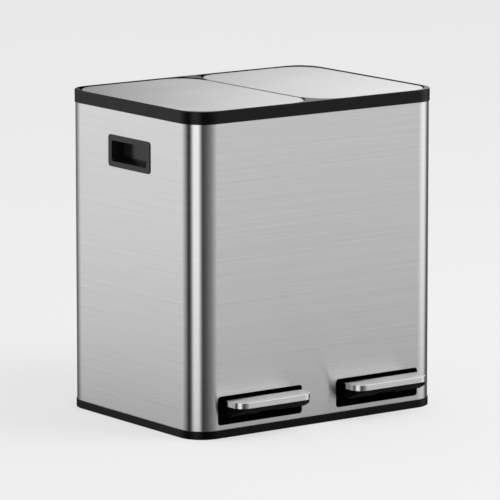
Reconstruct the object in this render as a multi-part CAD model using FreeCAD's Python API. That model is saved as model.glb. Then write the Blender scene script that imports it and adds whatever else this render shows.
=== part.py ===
import FreeCAD, Part
import os
from math import atan, cos, degrees, radians, sin, tan

# Double recycling bin: two lids side by side, each opened by its own pedal.
# Millimetres. Origin on the floor under the middle of the body, +X right, -Y front, +Z up.
# Everything that comes once per side is drawn for the right side and mirrored to the left.

# ---------------------------------------------------------------- driving sizes

# Body
body_width = 418.0          # steel wall, outside
body_depth = 310.0
body_height = 450.0         # floor to the top of the rim
corner_radius = 35.0        # upright corners of the steel wall
sheet = 0.8                 # steel sheet
wall = 2.5                  # moulded plastic walls

# Clearances
free_gap = 0.3              # between pieces that move past each other
seat_gap = 0.2              # between fixed pieces that fit into each other
run_gap = 0.05              # radial, pins and shafts in their bores

# Rim
rim_height = 17.5
rim_overhang = 1.0
rim_lip = 2.7               # thickness of the lip round the lids
rim_round = 1.5
ledge_drop = 10.0           # the lids' ledge lies this far below the rim's top
ledge_side = 18.0
ledge_front = 10.0
trough_length = 33.0        # hinge trough behind the buckets, front to back
bar_width = 10.0            # bar between the two bucket openings
opening_radius = 32.0
skirt_height = 17.5         # part of the frame that sits inside the steel wall
flange_height = 7.5         # turned-down edge round each bucket opening
cusp_length = 39.0          # length of the solid web between the lids' round corners

# Lids
lid_seam = 4.8              # between the two steel panels
lid_gap = 1.8               # between a panel and the lip
lid_radius = 44.0
lid_recess = 1.0            # panels lie this far below the rim's top
lid_edge = 5.5              # height of the panel's turned-down edge
lid_round = 1.2
lid_swing = 80.0            # degrees
liner_plate = 2.5
liner_depth = 6.7           # from the panel's underside to the liner's lowest rib
liner_rib = 2.0
rib_pitch = 45.0
bumper_radius = 3.2
bumper_stem_radius = 1.6
bumper_stem_length = 2.5

# Lid hinge
pivot_inset = 8.0           # hinge line in front of the panel's rear edge
pivot_drop = 5.0            # hinge line below the panel's top
hinge_pin_radius = 2.0
hinge_eye_radius = 3.6
hinge_inner_margin = 10.6   # knuckles, from the ends of the panel's straight rear edge
hinge_outer_margin = 16.5
knuckle_width = 12.0
ear_width = 4.0
ear_root = 9.5              # front-to-back length of an ear where it meets the trough
relief_inset = 9.0          # ends of the corner reliefs, from the panel's sides
relief_radius = 8.8
relief_skin = 2.0           # left over the deeper relief
corner_skin = 1.4           # least left outside the reliefs, in the rim's round corners

# Crank and push rod
crank_reach = 15.0          # push rod in front of the hinge line
crank_plate = 4.0
crank_end_radius = 6.5
crank_slot_half = 3.1
crank_foot_length = 32.0
crank_foot_width = 24.0
rod_radius = 3.0
rod_pin_radius = 2.0
head_cheek = 3.5
head_depth = 11.0
head_above_pin = 5.0
head_below_pin = 10.5       # floor of the fork below the pin
head_block = 12.0
rod_grip = 8.0              # length of rod held in the head and in the foot
foot_radius = 6.5
foot_crown = 7.5
foot_height = 14.0
guide_drop = 30.0           # guide bore's top below the hinge trough
guide_height = 12.0
guide_half_width = 12.0
guide_plate = 3.0

# Base
base_band = 11.5
base_floor = 3.0
base_lip = 3.7              # locating wall above the band
base_rear_lip = 18.5        # the same wall at the rear, where the rivets go
pad_radius = 12.0
pad_thickness = 1.5
pad_inset_x = 62.0
pad_inset_y = 50.0

# Inner floor
deck_height = 62.0
deck_plate = 3.0
deck_boss_height = 15.0
deck_boss_radius = 7.0
pillar_radius = 6.0
pillar_inset_x = 19.0
pillar_inset_y = 25.0
screw_radius = 1.6
screw_head_radius = 4.0
screw_head_height = 2.4
screw_length = 12.0
locating_rib_height = 2.5   # rails round the bucket's foot
locating_rib = 2.0

# Buckets
bucket_gap = 2.5            # round the rim, inside the opening
bucket_rim_drop = 6.0       # bucket rim below the lids' ledge
bucket_rim = 3.0
bucket_rim_thickness = 3.0
bucket_wall = 1.8
bucket_taper = 3.0
bucket_lip_height = 9.0
bucket_corner_radius = 26.0  # of the wall under the rim
bucket_foot_radius = 16.0

# Pedal windows and the boxes behind them
window_width = 143.0
window_margin = 36.5        # steel between a window and the body's side
window_height = 40.0
window_sill = 18.0
window_radius = 4.5
housing_border = 1.0        # inside the box beyond each side of the window
housing_wall = 2.0
housing_depth = 50.0
housing_sill_drop = 0.5
housing_rib_depth = 3.0
housing_rib = 1.2
housing_rib_pitch = 10.0
housing_leg = 6.0
housing_slot = 36.0         # length of the lever's slot in the box, from its rear

# Pedals
pedal_width = 127.5
pedal_reach = 40.0          # out of the steel front
pedal_radius = 17.0
pedal_top = 53.7
pedal_edge = 8.0            # height of the steel cover's front face
pedal_round = 1.0
cover_back = 9.5            # rear edge of the cover's top, in front of the steel front
cover_side_back = 12.0      # rear edge of the cover's sides, in front of the steel front
pad_tail = 20.0             # how far the plastic body runs into the window
pad_underside = 32.0        # height of the plastic body's underside at the window
pad_step = 1.2              # the plastic body lies this far below the cover behind it
pad_lip = 1.5               # plastic that shows below the cover's front face
pad_slope = 24.0            # front-to-back length of the sloping underside

# Pedal lever and axle
axle_setback = 97.0         # axle behind the steel front
axle_height = 21.0
axle_radius = 3.0
bush_wall = 1.4
hub_wall = 1.5
lever_width = 30.0
lever_sheet = 2.0
lever_depth = 9.0           # of the channel where it crosses the window
lever_nose = 19.0           # front end of the lever, behind the pedal's front edge
lever_nose_depth = 4.0
lever_rest_height = 20.0    # flat end of the lever under the push rod
lever_overrun = 13.0        # lever beyond the push rod
post_width = 5.0
post_depth = 16.0
post_above_axle = 8.0
clip_thickness = 1.2
clip_radius = 5.5
clip_groove = 0.75          # depth of the clip's groove in the axle
pedal_screw_radius = 2.0
pedal_screw_head = 3.5

# Side grips
grip_drop = 74.0            # middle of the grip below the rim's top
bezel_width = 99.0
bezel_height = 44.5
bezel_radius = 5.0
bezel_thickness = 1.2
grip_width = 82.0
grip_opening = 28.5
grip_depth = 17.0
grip_draft = 4.0
grip_wall = 2.0

# Seam and rivets
seam_width = 10.0
seam_height = 0.7
rivet_radius = 1.6
rivet_head_radius = 3.5
rivet_head_height = 0.9
rivet_spread = 120.0

# ---------------------------------------------------------------- worked-out places

half_width = body_width / 2
half_depth = body_depth / 2
front = -half_depth
inner_x = half_width - sheet
inner_y = half_depth - sheet
inner_radius = corner_radius - sheet

rim_x = half_width + rim_overhang
rim_y = half_depth + rim_overhang
rim_radius = corner_radius + rim_overhang
rim_bottom = body_height - rim_height
ledge_z = body_height - ledge_drop
skirt_x = inner_x - free_gap
skirt_y = inner_y - free_gap
skirt_radius = inner_radius - free_gap
flange_z = ledge_z - wall - flange_height
guide_top = flange_z - guide_drop
grip_height = body_height - grip_drop

pocket_x = rim_x - rim_lip
pocket_y = rim_y - rim_lip
lid_x0 = lid_seam / 2
lid_x1 = pocket_x - lid_gap
lid_y = pocket_y - lid_gap
lid_top = body_height - lid_recess
pocket_x0 = lid_x0 - lid_gap
pocket_radius = lid_radius + lid_gap

opening_x0 = bar_width / 2
opening_x1 = pocket_x - ledge_side
opening_y0 = -pocket_y + ledge_front
opening_y1 = pocket_y - trough_length

pivot_y = lid_y - pivot_inset
pivot_z = lid_top - pivot_drop
middle_x = half_width - window_margin - window_width / 2    # pedal, lever, push rod, crank
rod_y = pivot_y - crank_reach
rod_travel = 2 * crank_reach * tan(radians(lid_swing / 2))
pin_z = pivot_z - rod_travel / 2
axle_y = front + axle_setback
foot_z = lever_rest_height + free_gap
rod_bottom = foot_z + foot_height - rod_grip
fork_floor = pin_z - head_below_pin
head_bottom = fork_floor - head_block
rod_top = head_bottom + rod_grip

deck_top = deck_height + deck_plate
bucket_x0 = opening_x0 + bucket_gap
bucket_x1 = opening_x1 - bucket_gap
bucket_y0 = opening_y0 + bucket_gap
bucket_y1 = opening_y1 - bucket_gap
bucket_top = ledge_z - bucket_rim_drop
bucket_rim_radius = opening_radius - bucket_gap

pedal_x0 = middle_x - pedal_width / 2
pedal_x1 = middle_x + pedal_width / 2
pedal_front = front - pedal_reach
window_x0 = middle_x - window_width / 2
window_x1 = middle_x + window_width / 2
window_top = window_sill + window_height
housing_floor = window_sill - housing_sill_drop
housing_back = front + sheet + seat_gap + housing_depth
hub_radius = axle_radius + run_gap + bush_wall + run_gap + hub_wall
post_inner = lever_width / 2 + bush_wall
clip_bore = axle_radius - clip_groove
pad_top = pedal_top - sheet - pad_step

# ---------------------------------------------------------------- drawing helpers


def vec(x, y, z):
    return FreeCAD.Vector(x, y, z)


def box(x0, x1, y0, y1, z0, z1):
    return Part.makeBox(x1 - x0, y1 - y0, z1 - z0, vec(x0, y0, z0))


def upright(x, y, z0, z1, radius):
    """Cylinder standing along Z."""
    return Part.makeCylinder(radius, z1 - z0, vec(x, y, z0), vec(0, 0, 1))


def across(x0, x1, y, z, radius):
    """Cylinder lying along X."""
    return Part.makeCylinder(radius, x1 - x0, vec(x0, y, z), vec(1, 0, 0))


def endwise(x, y0, y1, z, radius):
    """Cylinder lying along Y."""
    return Part.makeCylinder(radius, y1 - y0, vec(x, y0, z), vec(0, 1, 0))


def round_outline(x0, x1, y0, y1, radius, z):
    """Closed rectangle with round corners, flat at height z."""
    corners = (
        (x1 - radius, y0 + radius, -90),
        (x1 - radius, y1 - radius, 0),
        (x0 + radius, y1 - radius, 90),
        (x0 + radius, y0 + radius, 180),
    )
    arcs = []
    for cx, cy, start in corners:
        points = []
        for turn in (start, start + 45, start + 90):
            a = radians(turn)
            points.append(vec(cx + radius * cos(a), cy + radius * sin(a), z))
        arcs.append(points)
    edges = []
    for i, points in enumerate(arcs):
        edges.append(Part.Arc(*points).toShape())
        edges.append(Part.LineSegment(points[2], arcs[(i + 1) % 4][0]).toShape())
    return Part.Wire(edges)


def round_box(x0, x1, y0, y1, z0, z1, radius):
    """Upright block with round upright corners."""
    outline = round_outline(x0, x1, y0, y1, radius, z0)
    return Part.Face(outline).extrude(vec(0, 0, z1 - z0))


def centred_box(half_x, half_y, z0, z1, radius):
    return round_box(-half_x, half_x, -half_y, half_y, z0, z1, radius)


def profile(points, x0, x1):
    """Block whose outline is drawn in the YZ plane, from x0 to x1."""
    corners = [vec(x0, y, z) for y, z in points]
    outline = Part.makePolygon(corners + corners[:1])
    return Part.Face(outline).extrude(vec(x1 - x0, 0, 0))


def flat_edges(shape, z):
    """Edges that lie wholly at height z."""
    found = []
    for edge in shape.Edges:
        bounds = edge.BoundBox
        if abs(bounds.ZMin - z) < 0.01 and abs(bounds.ZMax - z) < 0.01:
            found.append(edge)
    return found


def rounded(shape, z, radius):
    """Fillet every edge at height z."""
    return shape.makeFillet(radius, flat_edges(shape, z))


def mirrored(shape):
    return shape.mirror(vec(0, 0, 0), vec(1, 0, 0))


def both_sides(shape):
    return [shape, mirrored(shape)]


def joined(shapes):
    solid = shapes[0].fuse(list(shapes[1:]))
    return solid.removeSplitter()


# ---------------------------------------------------------------- body


def outer_shell():
    """Wrapped steel wall with pedal windows, grip openings and a lock seam at the rear."""
    shell = centred_box(half_width, half_depth, base_band, rim_bottom, corner_radius)
    seam = box(-seam_width / 2, seam_width / 2, half_depth - sheet, half_depth + seam_height,
               base_band, rim_bottom)
    shell = joined([shell, seam])
    cuts = [centred_box(inner_x, inner_y, base_band - 1, rim_bottom + 1, inner_radius)]
    window = round_box(window_x0, window_x1, window_sill, window_top, 0, 4 * sheet, window_radius)
    window.rotate(vec(0, 0, 0), vec(1, 0, 0), 90)
    window.translate(vec(0, front + 2 * sheet, 0))
    cuts += both_sides(window)
    cuts += both_sides(grip_plug(half_width - 2 * sheet, half_width + 2 * sheet, seat_gap))
    for x in (-rivet_spread, rivet_spread):
        for z in rivet_heights():
            cuts.append(endwise(x, inner_y - 1, half_depth + 1, z, rivet_radius + run_gap))
    return shell.cut(cuts)


def top_frame():
    """Black rim: lip, lid ledge, rear hinge trough, ears and the skirt inside the steel wall."""
    frame = centred_box(rim_x, rim_y, rim_bottom, body_height, rim_radius)
    frame = rounded(frame, body_height, rim_round)
    frame = frame.cut(centred_box(pocket_x, pocket_y, rim_bottom - 1, ledge_z - wall,
                                  rim_radius - rim_lip))
    skirt = centred_box(skirt_x, skirt_y, rim_bottom - skirt_height, ledge_z - wall / 2,
                        skirt_radius)
    skirt = skirt.cut(centred_box(skirt_x - wall, skirt_y - wall, rim_bottom - skirt_height - 1,
                                  ledge_z, skirt_radius - wall))
    solid_parts = [frame, skirt]
    cuts = []
    for side in (1, -1):
        flange = round_box(opening_x0 - wall, opening_x1 + wall, opening_y0 - wall,
                           opening_y1 + wall, flange_z, ledge_z - wall / 2, opening_radius + wall)
        trough = centred_box(skirt_x - wall / 2, skirt_y - wall / 2, flange_z, flange_z + wall,
                             skirt_radius - wall / 2)
        trough = trough.common(box(0, skirt_x, opening_y1 + wall / 2, skirt_y, flange_z,
                                   body_height))
        pocket = round_box(pocket_x0, pocket_x, -pocket_y, pocket_y, ledge_z, body_height + 1,
                           pocket_radius)
        opening = round_box(opening_x0, opening_x1, opening_y0, opening_y1, flange_z - 1,
                            body_height, opening_radius)
        well = round_box(pocket_x0, pocket_x, -pocket_y, pocket_y, flange_z + wall,
                         ledge_z + 1, pocket_radius)
        well = well.common(box(0, rim_x, opening_y1 + wall, rim_y, flange_z, body_height))
        crank_slot = box(middle_x - crank_width_clear(), middle_x + crank_width_clear(),
                         opening_y1 - 1, pivot_y - hinge_eye_radius, flange_z - 1, ledge_z + 1)
        for shape, group in ((flange, solid_parts), (trough, solid_parts), (pocket, cuts),
                             (opening, cuts), (well, cuts), (crank_slot, cuts)):
            group.append(shape if side == 1 else mirrored(shape))
    for relief in corner_reliefs():
        cuts += both_sides(relief)
    cuts.append(box(-lid_x0, lid_x0, -pocket_y + cusp_length, pocket_y - cusp_length,
                    ledge_z, body_height + 1))
    frame = joined(solid_parts).cut(cuts)
    ears = []
    for ear in hinge_ears():
        ears += both_sides(ear)
    frame = joined([frame] + ears)
    holes = []
    for x in guide_screw_places():
        holes += both_sides(upright(x, guide_screw_y(), flange_z - 1, flange_z + wall + 1,
                                    screw_radius + run_gap))
    for x in (-rivet_spread, rivet_spread):
        holes.append(endwise(x, skirt_y - wall - 1, skirt_y + 1, rivet_heights()[1],
                             rivet_radius + run_gap))
    return frame.cut(holes)


def corner_reliefs():
    """Hollows under the rim's rear corners, where the lid's round corners swing down."""
    x0 = lid_x0 + relief_inset
    x1 = lid_x1 - relief_inset
    shallow = across(x0, x1, pivot_y, pivot_z, relief_radius)
    deep = across(x0, x1, pivot_y, pivot_z, pocket_y - pivot_y - seat_gap)
    deep = deep.common(box(x0, x1, 0, rim_y, ledge_z - ledge_drop, body_height - relief_skin))
    inside = centred_box(rim_x - corner_skin, rim_y - corner_skin, rim_bottom, body_height + 1,
                         rim_radius - corner_skin)
    return [shallow.common(inside), deep.common(inside)]


def crank_width_clear():
    """Half width of the slot that the crank and the rod head pass through."""
    return crank_plate / 2 + head_cheek + free_gap + wall


def hinge_places():
    return (lid_x0 + lid_radius + hinge_inner_margin,
            lid_x1 - lid_radius - hinge_outer_margin)


def hinge_ears():
    """Two ears at each knuckle, standing on the trough in front of the hinge line."""
    floor = flange_z + wall
    outline = (
        (pivot_y - hinge_eye_radius, pivot_z),
        (pivot_y - ear_root - hinge_eye_radius, floor - wall / 2),
        (pivot_y - hinge_eye_radius, floor - wall / 2),
        (pivot_y - hinge_pin_radius, pivot_z - hinge_eye_radius),
        (pivot_y, pivot_z - hinge_eye_radius),
    )
    ears = []
    for x in hinge_places():
        for direction in (-1, 1):
            inner = x + direction * (knuckle_width / 2 + free_gap)
            outer = inner + direction * ear_width
            x0 = min(inner, outer)
            x1 = max(inner, outer)
            leg = profile(outline + ((pivot_y, pivot_z),), x0, x1)
            eye = across(x0, x1, pivot_y, pivot_z, hinge_eye_radius)
            bore = across(x0 - 1, x1 + 1, pivot_y, pivot_z, hinge_pin_radius + run_gap)
            ears.append(joined([leg, eye]).cut(bore))
    return ears


def hinge_pins():
    """The pins of one lid, as long as a knuckle and its two ears."""
    reach = knuckle_width / 2 + free_gap + ear_width
    return [across(x - reach, x + reach, pivot_y, pivot_z, hinge_pin_radius)
            for x in hinge_places()]


def base_tray():
    """Black base: band, floor, locating wall, axle posts and the inner floor's pillars."""
    band = centred_box(rim_x, rim_y, 0, base_band, rim_radius)
    band = rounded(band, 0, rim_overhang)
    lip = centred_box(skirt_x, skirt_y, base_floor, base_band + base_lip, skirt_radius)
    rear_lip = centred_box(skirt_x, skirt_y, base_floor, base_band + base_rear_lip, skirt_radius)
    rear_lip = rear_lip.common(box(-skirt_x, skirt_x, skirt_y - skirt_radius, skirt_y,
                                   base_floor, deck_height))
    tray = joined([band, lip, rear_lip])
    tray = tray.cut(centred_box(skirt_x - wall, skirt_y - wall, base_floor, deck_height,
                                skirt_radius - wall))
    added = [upright(x, y, base_floor - 1, deck_height, pillar_radius)
             for x, y in pillar_places()]
    for post in axle_posts():
        added += both_sides(post)
    tray = joined([tray] + added)
    holes = [upright(x, y, deck_height - screw_length - 1, deck_height + 1, screw_radius + run_gap)
             for x, y in pillar_places()]
    holes += both_sides(across(middle_x - axle_reach(), middle_x + axle_reach(), axle_y,
                               axle_height, axle_radius + run_gap))
    for x, y in pad_places():
        holes.append(upright(x, y, -1, pad_thickness, pad_radius + seat_gap))
    for x in (-rivet_spread, rivet_spread):
        holes.append(endwise(x, skirt_y - wall - 1, skirt_y + 1, rivet_heights()[0],
                             rivet_radius + run_gap))
    return tray.cut(holes)


def pad_places():
    x = half_width - pad_inset_x
    y = half_depth - pad_inset_y
    return ((-x, -y), (x, -y), (-x, y), (x, y))


def antislip_pads():
    return [upright(x, y, 0, pad_thickness, pad_radius) for x, y in pad_places()]


def pillar_places():
    x = half_width - pillar_inset_x
    y = half_depth - pillar_inset_y
    return [(px, py) for px in (-x, 0, x) for py in (-y, y)]


def axle_posts():
    posts = []
    for direction in (-1, 1):
        inner = middle_x + direction * (post_inner + free_gap)
        outer = inner + direction * post_width
        posts.append(box(min(inner, outer), max(inner, outer), axle_y - post_depth / 2,
                         axle_y + post_depth / 2, base_floor - 1, axle_height + post_above_axle))
    return posts


def rivet_heights():
    """Lower rivets hold the wall to the base, upper ones to the frame's skirt."""
    low = base_band + base_rear_lip / 2 + base_lip / 2
    high = rim_bottom - skirt_height / 2
    return (low, high)


def rear_rivets():
    """Blind rivets: head outside, shank through wall and plastic, collar inside."""
    rivets = []
    inside = skirt_y - wall
    for x in (-rivet_spread, rivet_spread):
        for z in rivet_heights():
            head = endwise(x, half_depth, half_depth + rivet_head_height, z, rivet_head_radius)
            shank = endwise(x, inside - rivet_head_height, half_depth + rivet_head_height / 2,
                            z, rivet_radius)
            collar = endwise(x, inside - rivet_head_height, inside, z,
                             (rivet_radius + rivet_head_radius) / 2)
            rivets.append(joined([head, shank, collar]))
    return rivets


def locating_rails():
    """Low rails along the four straight sides of a bucket's foot."""
    inset = bucket_rim + bucket_taper
    x0 = bucket_x0 + inset
    x1 = bucket_x1 - inset
    y0 = bucket_y0 + inset
    y1 = bucket_y1 - inset
    z0 = deck_top - wall / 2
    z1 = deck_top + locating_rib_height
    rails = []
    for y in (y0 - free_gap - locating_rib, y1 + free_gap):
        rails.append(box(x0 + bucket_foot_radius, x1 - bucket_foot_radius, y, y + locating_rib,
                         z0, z1))
    for x in (x0 - free_gap - locating_rib, x1 + free_gap):
        rails.append(box(x, x + locating_rib, y0 + bucket_foot_radius, y1 - bucket_foot_radius,
                         z0, z1))
    return rails


def inner_floor():
    """Deck that the buckets stand on, over the levers."""
    deck = centred_box(skirt_x, skirt_y, deck_height, deck_top, skirt_radius)
    added = []
    boss = upright(middle_x, rod_y, deck_top - 1, deck_height + deck_boss_height,
                   deck_boss_radius)
    for shape in locating_rails() + [boss]:
        added += both_sides(shape)
    deck = joined([deck] + added)
    holes = both_sides(upright(middle_x, rod_y, deck_height - 1,
                               deck_height + deck_boss_height + 1, rod_radius + run_gap))
    for x, y in pillar_places():
        holes.append(upright(x, y, deck_height - 1, deck_top + 1, screw_radius + run_gap))
    return deck.cut(holes)


def screw(x, y, seat, length, radius, head_radius, head_height, direction):
    """Screw whose head sits at height seat; direction +1 drives it upwards, -1 downwards."""
    if direction > 0:
        head = upright(x, y, seat - head_height, seat, head_radius)
        shank = upright(x, y, seat - head_height / 2, seat + length, radius)
    else:
        head = upright(x, y, seat, seat + head_height, head_radius)
        shank = upright(x, y, seat - length, seat + head_height / 2, radius)
    return joined([head, shank])


def deck_screws():
    return [screw(x, y, deck_top, screw_length, screw_radius, screw_head_radius,
                  screw_head_height, -1) for x, y in pillar_places()]


# ---------------------------------------------------------------- buckets


def bucket_inset(z):
    """Draft of the bucket's wall at height z."""
    return bucket_taper * (bucket_top - z) / (bucket_top - deck_top)


def bucket_body(shrink, bottom):
    """Tapered block between the bucket's bottom and its rim."""
    outlines = []
    for z, radius in ((bottom, bucket_foot_radius), (bucket_top, bucket_corner_radius)):
        inset = bucket_rim + bucket_inset(z) + shrink
        outlines.append(round_outline(bucket_x0 + inset, bucket_x1 - inset, bucket_y0 + inset,
                                      bucket_y1 - inset, radius - shrink, z))
    return Part.makeLoft(outlines, True, True)


def bucket():
    """Tapered inner bucket with a turned-down rim to lift it by."""
    rim = round_box(bucket_x0, bucket_x1, bucket_y0, bucket_y1, bucket_top - bucket_lip_height,
                    bucket_top, bucket_rim_radius)
    rim = rounded(rim, bucket_top, bucket_rim_thickness / 3)
    under = round_box(bucket_x0 + bucket_wall / 2, bucket_x1 - bucket_wall / 2,
                      bucket_y0 + bucket_wall / 2, bucket_y1 - bucket_wall / 2,
                      bucket_top - bucket_lip_height - 1, bucket_top - bucket_rim_thickness,
                      bucket_rim_radius - bucket_wall / 2)
    body = bucket_body(0, deck_top)
    hollow = bucket_body(bucket_wall, deck_top + bucket_wall)
    return joined([rim.cut(under), body]).cut(hollow)


# ---------------------------------------------------------------- side grips


def grip_plug(x0, x1, grow):
    """Block of the grip insert's body, grown all round, from x0 to x1."""
    half = grip_width / 2 + grip_wall + grow
    rise = grip_opening / 2 + grip_wall + grow
    plug = round_box(-half, half, -rise, rise, 0, x1 - x0, bezel_radius + grow - 1)
    plug.rotate(vec(0, 0, 0), vec(1, 0, 0), 90)
    plug.rotate(vec(0, 0, 0), vec(0, 0, 1), 90)
    plug.translate(vec(x0, 0, grip_height))
    return plug


def side_handle():
    """Grip insert: a bezel outside the steel wall and a tapered pocket for four fingers."""
    bezel = round_box(-bezel_width / 2, bezel_width / 2, -bezel_height / 2, bezel_height / 2,
                      0, bezel_thickness, bezel_radius)
    bezel = rounded(bezel, bezel_thickness, bezel_thickness / 2)
    bezel.rotate(vec(0, 0, 0), vec(1, 0, 0), 90)
    bezel.rotate(vec(0, 0, 0), vec(0, 0, 1), 90)
    bezel.translate(vec(half_width, 0, grip_height))
    plug = grip_plug(half_width - grip_depth - grip_wall, half_width + bezel_thickness / 2, 0)
    outlines = []
    mouth = bezel_thickness + 1
    for depth, narrow in ((-mouth, -mouth * grip_draft / grip_depth), (grip_depth, grip_draft)):
        outline = round_outline(-grip_width / 2 + narrow, grip_width / 2 - narrow,
                                -grip_opening / 2 + narrow, grip_opening / 2 - narrow,
                                bezel_radius - 1, 0)
        outline.rotate(vec(0, 0, 0), vec(1, 0, 0), 90)
        outline.rotate(vec(0, 0, 0), vec(0, 0, 1), 90)
        outline.translate(vec(half_width - depth, 0, grip_height))
        outlines.append(outline)
    pocket = Part.makeLoft(outlines, True, True)
    return joined([bezel, plug]).cut(pocket)


# ---------------------------------------------------------------- pedal boxes


def pedal_housing():
    """Black box behind a pedal window, ribbed at its back, with a slot for the lever."""
    x0 = window_x0 - housing_border - housing_wall
    x1 = window_x1 + housing_border + housing_wall
    y0 = front + sheet + seat_gap
    z0 = housing_floor - housing_wall
    z1 = deck_height - housing_wall
    shell = box(x0, x1, y0, housing_back, z0, z1)
    hollow = box(x0 + housing_wall, x1 - housing_wall, y0 - 1, housing_back - housing_wall,
                 housing_floor, z1 - housing_wall)
    slot_half = lever_width / 2 + wall
    slot = box(middle_x - slot_half, middle_x + slot_half, housing_back - housing_slot,
               housing_back + 1, z0 - 1, z1 - 2 * housing_wall)
    legs = []
    for x in (x0 + housing_leg, x1 - 2 * housing_leg):
        legs.append(box(x, x + housing_leg, housing_back - 2 * housing_leg,
                        housing_back - housing_leg, base_floor, z0 + housing_wall / 2))
    ribs = []
    count = int((x1 - x0) // housing_rib_pitch)
    rib_back = housing_back - housing_wall
    for i in range(1, count):
        x = x0 + i * housing_rib_pitch
        if abs(x - middle_x) > slot_half + housing_rib:
            ribs.append(box(x, x + housing_rib, rib_back - housing_rib_depth, rib_back + 1,
                            housing_floor - 1, z1 - 1))
    return joined([shell.cut([hollow, slot])] + ribs + legs)


# ---------------------------------------------------------------- pedals


def pedal_block(inset, z0, z1):
    """Pedal outline, round at its two front corners, open-ended towards the body."""
    return round_box(pedal_x0 + inset, pedal_x1 - inset, pedal_front + inset,
                     front + pad_tail + 2 * pedal_radius, z0, z1, pedal_radius - inset)


def pedal_cover():
    """Steel cap over the front of the pedal."""
    cover = rounded(pedal_block(0, pedal_top - pedal_edge, pedal_top), pedal_top, pedal_round)
    inside_top = pedal_top - sheet
    hollow = pedal_block(sheet, pedal_top - pedal_edge - 1, inside_top)
    hollow = rounded(hollow, inside_top, pedal_round - sheet)
    cuts = [
        hollow,
        box(0, half_width, front - cover_back, half_depth, 0, body_height),
        box(0, half_width, front - cover_side_back, half_depth, 0, pedal_top - pedal_round),
    ]
    return cover.cut(cuts)


def pedal_pad():
    """Plastic body of the pedal, running back into the window, wedge-shaped below."""
    inside_top = pedal_top - sheet
    gap = sheet + run_gap
    pad = pedal_block(gap, pad_underside, inside_top)
    pad = rounded(pad, inside_top, pedal_round - sheet)
    wedge = profile(
        (
            (pedal_front - 1, pedal_top - pedal_edge - pad_lip),
            (pedal_front + gap, pedal_top - pedal_edge - pad_lip),
            (pedal_front + pad_slope, pad_underside),
            (front + pad_tail, pad_underside),
            (front + pad_tail, body_height),
            (pedal_front - 1, body_height),
        ), pedal_x0 - 1, pedal_x1 + 1)
    pad = pad.common(wedge)
    step = box(pedal_x0 - 1, pedal_x1 + 1, front - cover_back + seat_gap, front + pad_tail + 1,
               pad_top, body_height)
    channel = below_lever(seat_gap, seat_gap, lever_width / 2 + seat_gap)
    holes = [upright(middle_x, y, pad_underside, pad_top - wall + seat_gap,
                     pedal_screw_radius + run_gap) for y in pedal_screw_places()]
    return pad.cut([step, channel] + holes)


def lever_line():
    """Side view of the lever's top: (y, z) points from the pedal to the push rod."""
    return (
        (pedal_front + lever_nose, pedal_top - pedal_edge - seat_gap),
        (front, pad_underside + free_gap + lever_depth),
        (axle_y - hub_radius, axle_height + hub_radius + lever_sheet),
        (axle_y + 2 * hub_radius, axle_height + hub_radius),
        (rod_y - 2 * lever_overrun, lever_rest_height),
        (rod_y + lever_overrun, lever_rest_height),
    )


def lever_flange():
    """Side view of the lever's lower edge, from the push rod back to the pedal."""
    line = lever_line()
    return (
        (line[5][0], line[5][1] - lever_depth),
        (line[4][0], line[4][1] - lever_depth),
        (axle_y + 2 * hub_radius, axle_height - hub_radius),
        (axle_y - 2 * hub_radius, axle_height - hub_radius + free_gap),
        (housing_back - housing_slot, axle_height + hub_radius + lever_sheet + free_gap),
        (line[1][0], line[1][1] - lever_depth),
        (line[0][0], line[0][1] - lever_nose_depth),
    )


def lever_top(y):
    """Height of the lever's top at y."""
    points = lever_line()
    for (y0, z0), (y1, z1) in zip(points, points[1:]):
        if y0 <= y <= y1:
            return z0 + (z1 - z0) * (y - y0) / (y1 - y0)
    return points[-1][1]


def below_lever(rise, reach, half):
    """All the room under the lever's top line, raised by rise and longer by reach at each end."""
    line = [(y, z + rise) for y, z in lever_line()]
    line[0] = (line[0][0] - reach, line[0][1])
    line[-1] = (line[-1][0] + reach, line[-1][1])
    floor = ((line[-1][0], -1), (line[0][0], -1))
    return profile(tuple(line) + floor, middle_x - half, middle_x + half)


def pedal_lever():
    """Steel channel that turns on the axle, with a flat rear end under the push rod."""
    half = lever_width / 2
    channel = profile(lever_line() + lever_flange(), middle_x - half, middle_x + half)
    channel = channel.cut(below_lever(-lever_sheet, 1, half - lever_sheet))
    hub = across(middle_x - half, middle_x + half, axle_y, axle_height, hub_radius)
    lever = joined([channel, hub])
    bore = across(middle_x - lever_width, middle_x + lever_width, axle_y, axle_height,
                  hub_radius - hub_wall)
    holes = [upright(middle_x, y, 0, body_height, pedal_screw_radius + seat_gap)
             for y in pedal_screw_places()]
    return lever.cut([bore] + holes)


def pedal_screw_places():
    return (front - cover_side_back, front + pad_tail / 2)


def pedal_screws():
    """Two screws from below, through the lever into the plastic body."""
    screws = []
    for y in pedal_screw_places():
        drop = lever_top(y - pedal_screw_head) - lever_top(y + pedal_screw_head)
        seat = lever_top(y) - lever_sheet - drop / 2 - run_gap
        length = pad_top - wall - seat
        screws.append(screw(middle_x, y, seat, length, pedal_screw_radius, pedal_screw_head,
                            screw_head_height, 1))
    return screws


def lever_bush():
    """Plastic sleeve between the lever's hub and the axle."""
    outer = axle_radius + run_gap + bush_wall
    reach = lever_width / 2 + bush_wall / 2
    sleeve = across(middle_x - reach, middle_x + reach, axle_y, axle_height, outer)
    return sleeve.cut(across(middle_x - reach - 1, middle_x + reach + 1, axle_y, axle_height,
                             axle_radius + run_gap))


def axle_reach():
    return post_inner + free_gap + post_width + 2 * clip_thickness


def pedal_axle():
    """Steel axle with a groove near each end for a retaining clip."""
    axle = across(middle_x - axle_reach(), middle_x + axle_reach(), axle_y, axle_height,
                  axle_radius)
    grooves = []
    for x0, x1 in clip_spans(run_gap):
        ring = across(x0, x1, axle_y, axle_height, axle_radius + 1)
        grooves.append(ring.cut(across(x0 - 1, x1 + 1, axle_y, axle_height, clip_bore)))
    return axle.cut(grooves)


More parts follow.
